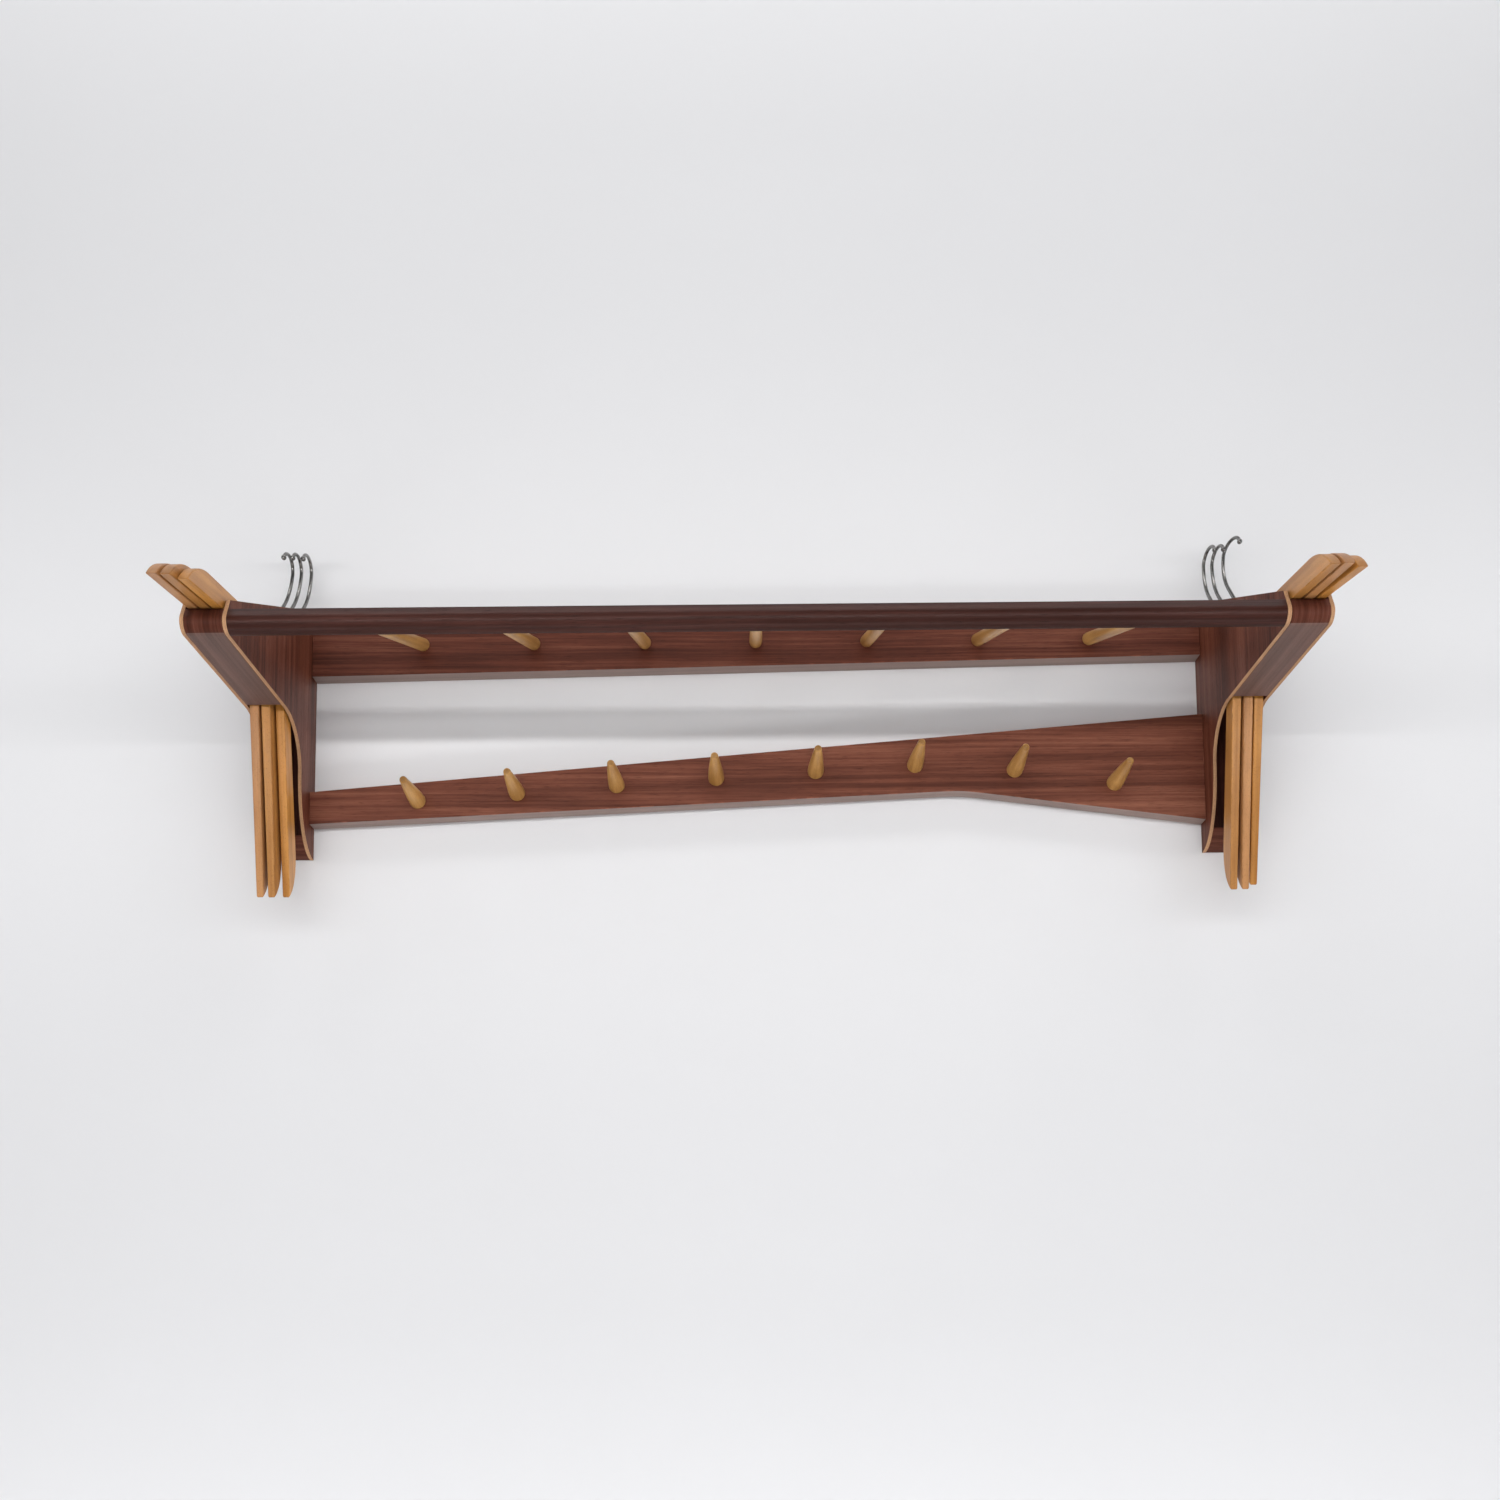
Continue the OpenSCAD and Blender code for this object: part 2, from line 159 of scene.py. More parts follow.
def cheek_outline():
    """Side of a hanger box: toe, knee, nose, sloping front and rounded back corner."""
    return (TOE_CURVE
            + corner((TOE_D, 0), (TOE_D, UNDER_H), NOSE, KNEE_R, 32)
            + corner((0, UNDER_H), NOSE, TOP_FRONT, NOSE_R)
            + [TOP_FRONT]
            + corner(TOP_FRONT, (0, CHEEK_TOP_H), (0, 0), BACK_R))


def floor_outline():
    """Bent strip under a box and round its nose, open behind for the lower hanger arms."""
    lip = Vector((front_at(LIP_H), LIP_H))
    inward = -FLOOR_T * Vector((math.cos(CHEEK_SLOPE), math.sin(CHEEK_SLOPE)))
    inner_h = UNDER_H + FLOOR_T
    inner_nose = (front_at(inner_h) - FLOOR_T / math.cos(CHEEK_SLOPE), inner_h)
    return ([Vector((SLOT_D, UNDER_H))]
            + corner((0, UNDER_H), NOSE, TOP_FRONT, NOSE_R)
            + [lip, lip + inward]
            + corner(lip + inward, inner_nose, (SLOT_D, inner_h), NOSE_R - FLOOR_T, 12)
            + [Vector((SLOT_D, inner_h))])


def bar_outline():
    """Front bar: the cheeks' nose in front, square behind."""
    return (corner((0, UNDER_H), NOSE, TOP_FRONT, NOSE_R)
            + [Vector((front_at(BAR_TOP), BAR_TOP)), Vector((BAR_BACK, BAR_TOP)),
               Vector((BAR_BACK, UNDER_H))])


def tip_curve():
    """Outer edge of an arm's tip as (along, across) the arm, curving down to the inner edge's corner."""
    r = (TIP_L ** 2 + TIP_W ** 2) / (2 * TIP_W)
    sweep = math.asin(TIP_L / r)
    centre = Vector((ARM_L - TIP_L, TIP_W - ARM_W / 2 - r))
    steps = 16
    angles = [sweep * k / steps for k in range(steps + 1)]
    return [centre + r * Vector((math.sin(a), math.cos(a))) for a in angles]


def hanger_outline():
    """The whole V of a hanger, tip to tip and back, in its own (u, v)."""
    w = ARM_W / 2
    tip = tip_curve()
    return ([Vector((p.x, p.y)) for p in reversed(tip)]
            + corner((ARM_L, w), (-w, w), (-w, -ARM_L), CROWN_R + w)
            + [Vector((-p.y, -p.x)) for p in tip]
            + corner((w, -ARM_L), (w, -w), (ARM_L, -w), CROWN_R - w))


# ---- Grain: where a point of a piece lies along, across and into its wood ----

def along_axis(axis, across, origin=(0, 0, 0)):
    """Straight grain along one axis of the row frame."""
    axis, across, origin = Vector(axis).normalized(), Vector(across).normalized(), Vector(origin)
    depth = axis.cross(across)
    return lambda p: ((p - origin).dot(axis), (p - origin).dot(across), (p - origin).dot(depth))


def along_path(path, flat):
    """Grain that follows a bent path; flat gives (side-plane point, sideways) of a row point."""
    lengths = [0.0]
    for a, b in zip(path, path[1:]):
        lengths.append(lengths[-1] + (b - a).length)

    def grain(p):
        q, sideways = flat(p)
        best = None
        for i, (a, b) in enumerate(zip(path, path[1:])):
            step = b - a
            t = (q - a).dot(step) / step.length_squared
            held = min(max(t, 0.0), 1.0)
            if (i == 0 and t < 0) or (i == len(path) - 2 and t > 1):
                held = t
            away = q - (a + step * held)
            if best is None or away.length < best[0]:
                side = step.x * away.y - step.y * away.x
                best = (away.length, lengths[i] + held * step.length, math.copysign(away.length, side))
        return best[1], best[2], sideways
    return grain


# ---- Making pieces ----

SHARP = math.radians(32)


def finish_piece(bm, name, node, body, material, grain, ends=None):
    """Stores where the grain runs in a piece, and puts it in the scene in place of its CAD node."""
    shift = [random.uniform(-5, 5) for _ in range(3)]
    mesh = bpy.data.meshes.new(name)
    bm.normal_update()
    for face in bm.faces:
        face.smooth = True
    for edge in bm.edges:
        if len(edge.link_faces) == 2:
            edge.smooth = edge.calc_face_angle(0) < SHARP
    bm.to_mesh(mesh)
    places = mesh.attributes.new("grain", "FLOAT_VECTOR", "POINT")
    for i, vertex in enumerate(mesh.vertices):
        places.data[i].vector = grain(vertex.co)
    shifts = mesh.attributes.new("shift", "FLOAT_VECTOR", "POINT")
    for i in range(len(mesh.vertices)):
        shifts.data[i].vector = shift
    cut_across = mesh.attributes.new("end_grain", "FLOAT", "FACE")
    for i, polygon in enumerate(mesh.polygons):
        cut_across.data[i].value = ends(polygon) if ends else 0.0
    bm.free()
    piece = bpy.data.objects.new(name, mesh)
    bpy.context.collection.objects.link(piece)
    mesh.materials.append(material)
    weighted = piece.modifiers.new("flat faces stay flat", "WEIGHTED_NORMAL")
    weighted.keep_sharp = True
    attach(piece, body)
    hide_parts(node)
    return piece


def ends_along(axis):
    """End grain where a face looks along the axis."""
    axis = Vector(axis)
    return lambda polygon: abs(polygon.normal.dot(axis)) ** 4


def prism(outline, place, low, high):
    """Closed board between two copies of an outline; place(point, t) gives the row position."""
    bm = bmesh.new()
    near = [bm.verts.new(place(p, low)) for p in outline]
    far = [bm.verts.new(place(p, high)) for p in outline]
    bm.faces.new(near)
    bm.faces.new(list(reversed(far)))
    n = len(outline)
    for i in range(n):
        bm.faces.new((near[i], far[i], far[(i + 1) % n], near[(i + 1) % n]))
    bmesh.ops.remove_doubles(bm, verts=bm.verts, dist=1e-6)
    bmesh.ops.recalc_face_normals(bm, faces=bm.faces)
    return bm


def cut_holes(bm, cutters):
    """The board less its cutters, each a closed bmesh."""
    for cutter in cutters:
        objects = []
        for part in (bm, cutter):
            mesh = bpy.data.meshes.new("cut")
            part.to_mesh(mesh)
            part.free()
            objects.append(bpy.data.objects.new("cut", mesh))
            bpy.context.collection.objects.link(objects[-1])
        board, tool = objects
        cut = board.modifiers.new("cut", "BOOLEAN")
        cut.operation, cut.solver, cut.object = "DIFFERENCE", "EXACT", tool
        made = board.evaluated_get(bpy.context.evaluated_depsgraph_get())
        bm = bmesh.new()
        bm.from_mesh(made.to_mesh())
        for o in objects:
            data = o.data
            bpy.data.objects.remove(o)
            bpy.data.meshes.remove(data)
    return bm


def ease_edges(bm, width, segments=3):
    """Rounds the sharp edges and marks the rounding as worn."""
    wear = bm.faces.layers.float.new("wear")
    sharp = [e for e in bm.edges if len(e.link_faces) == 2 and e.calc_face_angle(0) > SHARP]
    made = bmesh.ops.bevel(bm, geom=sharp, offset=width, offset_type="OFFSET", segments=segments,
                           profile=0.5, affect="EDGES", clamp_overlap=True)
    for face in made["faces"]:
        face[wear] = 1.0
    return bm


def looks_down(normal):
    return normal.z < -0.9


def paint_underlight(bm, much, where=looks_down):
    """Marks the faces of a board that get painted light from below, as a paler colour."""
    painted_underlight = bm.faces.layers.float.new("painted_underlight")
    bm.normal_update()
    for face in bm.faces:
        face[painted_underlight] = much if where(face.normal) else 0.0


def lathe(profile, place, turns):
    """Turned shape: profile is (radius, length) points from end to end, place maps local to row."""
    bm = bmesh.new()
    rings = []
    for r, z in profile:
        if r < 1e-6:
            rings.append([bm.verts.new(place(Vector((0, 0, z))))])
            continue
        angles = [2 * math.pi * i / turns for i in range(turns)]
        rings.append([bm.verts.new(place(Vector((r * math.cos(a), r * math.sin(a), z)))) for a in angles])
    for low, high in zip(rings, rings[1:]):
        for i in range(turns):
            j = (i + 1) % turns
            loop = [low[i % len(low)], low[j % len(low)], high[j % len(high)], high[i % len(high)]]
            bm.faces.new(list(dict.fromkeys(loop)))
    bmesh.ops.recalc_face_normals(bm, faces=bm.faces)
    return bm


def tube(path, radii, across, sides):
    """Wire along a flat path; across is the direction square to the path's plane."""
    bm = bmesh.new()
    rings = []
    for i, (p, r) in enumerate(zip(path, radii)):
        ahead = (path[min(i + 1, len(path) - 1)] - path[max(i - 1, 0)]).normalized()
        outward = ahead.cross(across).normalized()
        angles = [2 * math.pi * k / sides for k in range(sides)]
        rings.append([bm.verts.new(p + r * (math.cos(a) * outward + math.sin(a) * across)) for a in angles])
    for low, high in zip(rings, rings[1:]):
        for k in range(sides):
            j = (k + 1) % sides
            bm.faces.new((low[k], low[j], high[j], high[k]))
    bm.faces.new(rings[0])
    bm.faces.new(rings[-1])
    bmesh.ops.recalc_face_normals(bm, faces=bm.faces)
    return bm


# ---- Materials ----

class Shader:
    """A new material, its node tree and short ways to fill it."""

    def __init__(self, name):
        self.material = bpy.data.materials.new(name)
        self.material.use_nodes = True
        self.tree = self.material.node_tree
        self.tree.nodes.clear()
        self.surface = self.tree.nodes.new("ShaderNodeBsdfPrincipled")
        out = self.tree.nodes.new("ShaderNodeOutputMaterial")
        self.tree.links.new(self.surface.outputs[0], out.inputs[0])

    def put(self, socket, value):
        if isinstance(value, bpy.types.NodeSocket):
            self.tree.links.new(value, socket)
        elif isinstance(value, tuple) and socket.type == "RGBA":
            socket.default_value = (*value, 1)
        else:
            socket.default_value = value

    def node(self, kind, inputs=None, output=0, **settings):
        made = self.tree.nodes.new("ShaderNode" + kind)
        for key, value in settings.items():
            setattr(made, key, value)
        for key, value in (inputs or {}).items():
            self.put(made.inputs[key], value)
        return made.outputs[output]

    def attribute(self, name, output="Vector"):
        return self.node("Attribute", output=output, attribute_name=name)

    def math(self, operation, a, b=0.0, c=0.0):
        return self.node("Math", {0: a, 1: b, 2: c}, operation=operation)

    def scaled(self, vector, scale):
        return self.node("VectorMath", {0: vector, 1: scale}, operation="MULTIPLY")

    def noise(self, vector, scale, detail=4.0, roughness=0.55):
        return self.node("TexNoise", {"Vector": vector, "Scale": scale, "Detail": detail,
                                      "Roughness": roughness})

    def grain(self, place, along, across, detail, roughness):
        """Noise drawn out along the grain; along and across are waves per metre."""
        return self.noise(self.scaled(place, (along, across, across)), 1.0, detail, roughness)

    def span(self, value, low, high, to_low=0.0, to_high=1.0):
        return self.node("MapRange", {0: value, 1: low, 2: high, 3: to_low, 4: to_high},
                         interpolation_type="SMOOTHSTEP")

    def mix(self, factor, a, b):
        made = self.tree.nodes.new("ShaderNodeMix")
        made.data_type = "RGBA"
        made.clamp_factor = True
        self.put(made.inputs[0], factor)
        self.put(made.inputs[6], a)
        self.put(made.inputs[7], b)
        return made.outputs[2]

    def set(self, **inputs):
        for key, value in inputs.items():
            self.put(self.surface.inputs[key.replace("_", " ")], value)

    def bump(self, height, strength, distance):
        self.set(Normal=self.node("Bump", {"Strength": strength, "Distance": distance, "Height": height}))


def shade(colour, by):
    """The colour made darker or lighter, up to full brightness."""
    return tuple(min(v * by, 1) for v in colour)


def wood_coordinates(s):
    """Grain position of the piece, shifted so that no two pieces match, with a slow sideways wander."""
    place = s.node("VectorMath", {0: s.attribute("grain"), 1: s.attribute("shift")}, operation="ADD")
    slow = s.scaled(place, (2.2, 9.0, 9.0))
    wander = s.node("TexNoise", {"Vector": slow, "Scale": 1.0, "Detail": 2.0}, output="Color")
    centred = s.node("VectorMath", {0: wander, 1: (0.5, 0.5, 0.5)}, operation="SUBTRACT")
    pushed = s.scaled(centred, (0.0, 0.010, 0.010))
    return s.node("VectorMath", {0: place, 1: pushed}, operation="ADD")


def mahogany_colour(s, place, bands, cloud, fibre, pores, dark, mid, light):
    """Bands, broad stripes and clouds between three tones, with dark fibres and pores."""
    stripe = s.grain(place, 0.7, 26.0, 3.0, 0.5)
    tone = s.math("MULTIPLY_ADD", bands, 0.85, s.math("MULTIPLY", stripe, 0.38))
    tone = s.math("MULTIPLY_ADD", cloud, 0.32, tone)
    colour = s.node("ValToRGB", {0: s.span(tone, 0.58, 1.02)})
    ramp = colour.node.color_ramp
    ramp.elements[0].color, ramp.elements[1].color = (*dark, 1), (*light, 1)
    ramp.elements.new(0.5).color = (*mid, 1)
    colour = s.mix(s.span(fibre, 0.3, 0.7, 0.0, 0.35), colour, dark)
    return s.mix(s.math("MULTIPLY", pores, 0.55), colour, shade(dark, 0.35))


def mahogany_faces(s, place, colour, bands, dark, light):
    """Darker end grain, painted light from below on the undersides, and rubbed edges."""
    colour = s.mix(s.math("MULTIPLY", s.attribute("end_grain", "Fac"), 0.6), colour, shade(dark, 0.6))
    # Painted light: a paler, greyish colour on faces that look down, for the light from below
    painted_underlight = s.mix(bands, (0.17, 0.120, 0.105), (0.36, 0.280, 0.250))
    colour = s.mix(s.math("MULTIPLY", s.attribute("painted_underlight", "Fac"), 0.9), colour, painted_underlight)
    grime = s.noise(s.scaled(place, (60.0, 60.0, 60.0)), 1.0, 4.0)
    rubbed = s.math("MULTIPLY", s.attribute("wear", "Fac"), s.span(grime, 0.45, 0.7))
    return s.mix(s.math("MULTIPLY", rubbed, 0.5), colour, shade(light, 1.7))


def mahogany(name, dark, mid, light, roughness, gloss, coat=0.0):
    """Open-grained red-brown hardwood under a worn satin oil finish."""
    s = Shader(name)
    place = wood_coordinates(s)
    bands = s.grain(place, 2.2, 150.0, 6.0, 0.68)
    cloud = s.grain(place, 5.0, 14.0, 3.0, 0.6)
    fibre = s.grain(place, 22.0, 1300.0, 2.0, 0.6)
    pores = s.span(s.grain(place, 70.0, 2100.0, 1.0, 0.5), 0.60, 0.72)
    colour = mahogany_colour(s, place, bands, cloud, fibre, pores, dark, mid, light)
    colour = mahogany_faces(s, place, colour, bands, dark, light)
    rough = s.math("MULTIPLY_ADD", cloud, 0.16, roughness - 0.08)
    rough = s.math("MULTIPLY_ADD", pores, 0.2, rough)
    height = s.math("MULTIPLY_ADD", pores, -1.0, s.math("MULTIPLY", fibre, 0.35))
    s.set(Base_Color=colour, Roughness=rough, Specular_IOR_Level=gloss, Coat_Weight=coat, Coat_Roughness=0.25)
    s.bump(height, 0.25, 0.0004)
    return s


def ply(name, veneer):
    """Plywood: the veneer's own look on the faces, bare layered edges all round."""
    s = veneer
    place = s.attribute("grain")
    depth = s.node("SeparateXYZ", {0: place}, output=2)
    layer = s.math("FRACT", s.math("DIVIDE", depth, 0.0026))
    glue = s.span(s.math("ABSOLUTE", s.math("SUBTRACT", layer, 0.5)), 0.40, 0.48)
    core = s.span(s.math("ABSOLUTE", s.math("SUBTRACT", s.math("DIVIDE", depth, PLY), 0.5)), 0.14, 0.18)
    grit = s.noise(s.scaled(place, (420.0, 420.0, 1500.0)), 1.0, 3.0, 0.6)
    patch = s.noise(s.scaled(place, (18.0, 18.0, 18.0)), 1.0, 3.0, 0.6)
    edge = s.mix(core, (0.33, 0.16, 0.075), (0.54, 0.31, 0.165))
    edge = s.mix(s.span(grit, 0.35, 0.7, 0.0, 0.45), edge, (0.22, 0.11, 0.06))
    edge = s.mix(s.span(patch, 0.4, 0.75, 0.0, 0.5), edge, (0.30, 0.17, 0.10))
    edge = s.mix(s.math("MULTIPLY", glue, 0.35), edge, (0.14, 0.07, 0.04))
    face = s.surface.inputs["Base Color"].links[0].from_socket
    s.set(Base_Color=s.mix(s.attribute("rim", "Fac"), face, edge))
    s.material.name = name
    return s


def beech(name, dark, light, spots=0.5, roughness=0.40):
    """Steamed beech under old lacquer: fine flecks, faint long grain, amber patches."""
    s = Shader(name)
    place = wood_coordinates(s)
    long_grain = s.grain(place, 3.0, 150.0, 4.0, 0.6)
    fleck_place = s.scaled(place, (330.0, 1500.0, 700.0))
    fleck = s.node("TexVoronoi", {"Vector": fleck_place, "Scale": 1.0})
    flecks = s.span(fleck, 0.12, 0.30, 1.0, 0.0)
    patch = s.grain(place, 11.0, 30.0, 4.0, 0.6)
    fibre = s.grain(place, 30.0, 1600.0, 2.0, 0.5)
    tone = s.math("MULTIPLY_ADD", long_grain, 0.6, s.math("MULTIPLY", patch, 0.55))
    colour = s.mix(s.span(tone, 0.42, 0.74), dark, light)
    amber = tuple(v * f for v, f in zip(light, (0.95, 0.72, 0.5)))
    colour = s.mix(s.span(patch, 0.55, 0.8, 0.0, 0.5), colour, amber)
    colour = s.mix(s.math("MULTIPLY", flecks, spots), colour, shade(dark, 0.55))
    colour = s.mix(s.span(fibre, 0.35, 0.75, 0.0, 0.22), colour, dark)
    colour = s.mix(s.math("MULTIPLY", s.attribute("end_grain", "Fac"), 0.55), colour, shade(dark, 0.5))
    grime = s.noise(s.scaled(place, (90.0, 90.0, 90.0)), 1.0, 4.0, 0.6)
    rubbed = s.math("MULTIPLY", s.attribute("wear", "Fac"), s.span(grime, 0.42, 0.72))
    colour = s.mix(s.math("MULTIPLY", rubbed, 0.45), colour, shade(dark, 0.5))
    rough = s.math("MULTIPLY_ADD", patch, 0.18, roughness - 0.09)
    s.set(Base_Color=colour, Roughness=rough, Specular_IOR_Level=0.25, Coat_Weight=0.08, Coat_Roughness=0.22)
    s.bump(s.math("MULTIPLY_ADD", flecks, -0.6, fibre), 0.18, 0.0003)
    return s


def steel(name):
    """Old drawn wire: dull grey, with brighter rubbed streaks and a little dark spotting."""
    s = Shader(name)
    place = s.node("VectorMath", {0: s.attribute("grain"), 1: s.attribute("shift")}, operation="ADD")
    drawn = s.grain(place, 25.0, 2600.0, 3.0, 0.6)
    cloud = s.noise(s.scaled(place, (160.0, 160.0, 160.0)), 1.0, 5.0, 0.65)
    colour = s.mix(s.span(drawn, 0.3, 0.7), (0.11, 0.105, 0.10), (0.30, 0.29, 0.28))
    colour = s.mix(s.span(cloud, 0.58, 0.74, 0.0, 0.65), colour, (0.07, 0.06, 0.052))
    rough = s.math("MULTIPLY_ADD", cloud, 0.25, 0.10)
    s.set(Base_Color=colour, Metallic=1.0, Roughness=rough)
    s.bump(s.math("ADD", drawn, cloud), 0.12, 0.0002)
    return s


def brass(name):
    """Dull brass of old screw heads, seen only inside the boxes."""
    s = Shader(name)
    place = s.node("TexCoord", output="Object")
    cloud = s.noise(s.scaled(place, (600.0, 600.0, 600.0)), 1.0, 4.0, 0.6)
    colour = s.mix(s.span(cloud, 0.4, 0.7), (0.52, 0.36, 0.14), (0.20, 0.13, 0.06))
    s.set(Base_Color=colour, Metallic=1.0, Roughness=s.span(cloud, 0.3, 0.8, 0.3, 0.6))
    return s


# The upper rail's wood is darker partly by its own tone and partly as painted shade from the shelf above it
UPPER_WOOD_PAINTED_SHADE = mahogany("upper_rail_wood_with_painted_shade", (0.052, 0.014, 0.008), (0.118, 0.033, 0.019), (0.195, 0.068, 0.040),
                      roughness=0.50, gloss=0.14)
LOWER_WOOD = mahogany("lower_rail_wood", (0.084, 0.023, 0.012), (0.180, 0.056, 0.032), (0.275, 0.102, 0.060),
                      roughness=0.48, gloss=0.16, coat=0.01)
BAR_WOOD = mahogany("bar_wood", (0.030, 0.009, 0.006), (0.055, 0.018, 0.013), (0.088, 0.031, 0.023),
                    roughness=0.34, gloss=0.13)
STRIP_WOOD = mahogany("strip_veneer", (0.050, 0.014, 0.008), (0.104, 0.032, 0.019), (0.160, 0.057, 0.038),
                      roughness=0.48, gloss=0.08)
DARK_BOARD = mahogany("back_board_wood", (0.045, 0.013, 0.009), (0.085, 0.026, 0.018), (0.130, 0.045, 0.030),
                      roughness=0.6, gloss=0.10)
CHEEK_VENEER = mahogany("cheek", (0.062, 0.016, 0.008), (0.135, 0.038, 0.020), (0.200, 0.066, 0.038),
                        roughness=0.60, gloss=0.10)
CHEEK_PLY = ply("cheek_ply", CHEEK_VENEER)
HANGER_BEECH = [
    beech("hanger_beech_" + k, dark, light) for k, dark, light in (
        ("a", (0.350, 0.145, 0.034), (0.550, 0.258, 0.074)),
        ("b", (0.360, 0.158, 0.054), (0.560, 0.272, 0.104)),
        ("c", (0.390, 0.155, 0.028), (0.600, 0.275, 0.062)))]
TURNED_BEECH = beech("turned_beech", (0.335, 0.158, 0.040), (0.565, 0.310, 0.100),
                     spots=0.6, roughness=0.36)
STEEL = steel("hook_steel")
BRASS = brass("screw_brass")


# ---- The rack's pieces ----

def side_place(p, x):
    """Row position of a side-plane point at x."""
    return row(x, p[0], p[1])


def wall_place(p, depth):
    """Row position of a point drawn flat on the wall as (x, height), at a depth out from it."""
    return row(p[0], depth, p[1])


def screw_cutters(side):
    """Countersinks in the box side of an inner cheek, where the CAD screws sit."""
    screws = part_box("left_cheek_screws" if side < 0 else "right_cheek_screws")[0]
    spots = [(SCREW_D, h) for h in UPPER_SCREWS_H + LOWER_SCREWS_H[side]]
    spots.append((-screws.y - SCREW_HEAD_R, BAR_SCREW_H))
    mouth_r = SCREW_HEAD_R + SCREW_CLEAR
    profile = [(0, -0.001), (mouth_r, -0.001), (mouth_r, 0.0003),
               (SCREW_SHANK_R, 0.0024), (SCREW_SHANK_R, 0.005), (0, 0.005)]
    cutters = []
    for d, h in spots:
        start = row(side * (INNER_X + PLY), d, h)
        cutters.append(lathe(profile, lambda v, s=start: s + Vector((-side * v.z, v.x, v.y)), 32))
    return cutters


def cheek(side, inner):
    """Plywood side of a hanger box, veneered on both faces and bare round its rim."""
    name = ("left_" if side < 0 else "right_") + ("inner_cheek" if inner else "outer_cheek")
    lo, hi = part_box(name)
    bm = prism(cheek_outline(), side_place, lo.x, hi.x)
    if inner:
        bm = cut_holes(bm, screw_cutters(side))
    ease_edges(bm, CHEEK_EDGE)
    rim = bm.faces.layers.float.new("rim")
    for face in bm.faces:
        face[rim] = 0.0 if abs(face.normal.x) > 0.85 else 1.0
    grain = along_axis((0, 0, 1), (0, 1, 0), (lo.x, 0, 0))
    return finish_piece(bm, name + "_piece", name, "rack", CHEEK_PLY.material, grain)


def tray_floor(end):
    """Bent strip that the hangers of a box rest on; its grain follows the bend."""
    node = end + "_tray_floor"
    lo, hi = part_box(node)
    bm = ease_edges(prism(floor_outline(), side_place, lo.x, hi.x), STRIP_EDGE)
    # Faces that look down get some painted light from below, as a paler colour
    paint_underlight(bm, 0.4)
    path = ([Vector((SLOT_D, UNDER_H))] + corner((0, UNDER_H), NOSE, TOP_FRONT, NOSE_R, 10)
            + [Vector((front_at(LIP_H), LIP_H))])
    bent = along_path(path, lambda p: (Vector((-p.y, p.z - FOOT_Z)), p.x))

    def turned(p):
        along, out, sideways = bent(p)
        return along, sideways, out
    return finish_piece(bm, node + "_piece", node, "rack", STRIP_WOOD.material, turned)


def back_board(end):
    """Dark board across the back of a box, at the wall."""
    node = end + "_back_board"
    lo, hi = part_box(node)
    low, high = lo.z - FOOT_Z, hi.z - FOOT_Z
    bm = prism([(-lo.y, low), (-lo.y, high), (0, high), (0, low)], side_place, lo.x, hi.x)
    ease_edges(bm, HIDDEN_EDGE)
    return finish_piece(bm, node + "_piece", node, "rack", DARK_BOARD.material,
                        along_axis((0, 0, 1), (1, 0, 0)), ends_along((0, 0, 1)))


def toe_block(end):
    """Block between a box's cheeks at their foot, curved like them in front."""
    node = end + "_toe_block"
    lo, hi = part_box(node)
    block_h = hi.z - FOOT_Z
    rows = 60
    heights = [TOE_H * i / rows for i in range(rows + 1) if TOE_H * i / rows < block_h] + [block_h]
    curve = [Vector((TOE_D * math.sqrt(max(0.0, 1 - (1 - h / TOE_H) ** 2)), h)) for h in heights]
    bm = prism(curve + [Vector((0, block_h))], side_place, lo.x, hi.x)
    ease_edges(bm, HIDDEN_EDGE)
    return finish_piece(bm, node + "_piece", node, "rack", STRIP_WOOD.material,
                        along_axis((1, 0, 0), (0, 0, 1)), ends_along((1, 0, 0)))


def board_against_wall(node, outline, wood, cutters=()):
    """Rail flat on the wall, with its holes cut and painted light from below on its underside."""
    bm = prism(outline, wall_place, 0.0, RAIL_T)
    if cutters:
        bm = cut_holes(bm, cutters)
    # Faces that look down get painted light from below, as a paler colour
    paint_underlight(ease_edges(bm, RAIL_EDGE), 1.0)
    return finish_piece(bm, node + "_piece", node, "rack", wood.material,
                        along_axis((1, 0, 0), (0, 0, 1)), ends_along((1, 0, 0)))


def upper_rail():
    """Tapered rail with two countersunk holes for the wall screws."""
    lo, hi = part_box("upper_rail")
    holes = frame["record"]["mounts"][0]["dims"]
    spacing, hole_r = holes["spacing_x_mm"] / 1000, holes["hole_r_mm"] / 1000
    profile = [(0, -0.001), (2 * hole_r, -0.001), (2 * hole_r, 0),
               (hole_r, 0.004), (hole_r, 0.022), (0, 0.022)]
    cutters = [lathe(profile, lambda v, x=side * spacing / 2: Vector((x + v.x, -RAIL_T + v.z, v.y)), 48)
               for side in (-1, 1)]
    outline = [(lo.x, UPPER_LEFT_H), (hi.x, UPPER_RIGHT_H), (hi.x, UPPER_TOP_H), (lo.x, UPPER_TOP_H)]
    # Its wood is the darker copy, with painted shade from the shelf
    return board_against_wall("upper_rail", outline, UPPER_WOOD_PAINTED_SHADE, cutters)


def lower_rail():
    """Peg rail: widens to the right, its lower edge turning at a soft peak."""
    lo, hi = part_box("lower_rail")
    left, right = (lo.x, LOWER_LEFT_H), (hi.x, LOWER_RIGHT_H)
    outline = [left, *corner(left, LOWER_PEAK, right, LOWER_PEAK_R, 12), right,
               (hi.x, LOWER_RIGHT_TOP_H), (lo.x, LOWER_LEFT_TOP_H)]
    return board_against_wall("lower_rail", outline, LOWER_WOOD)


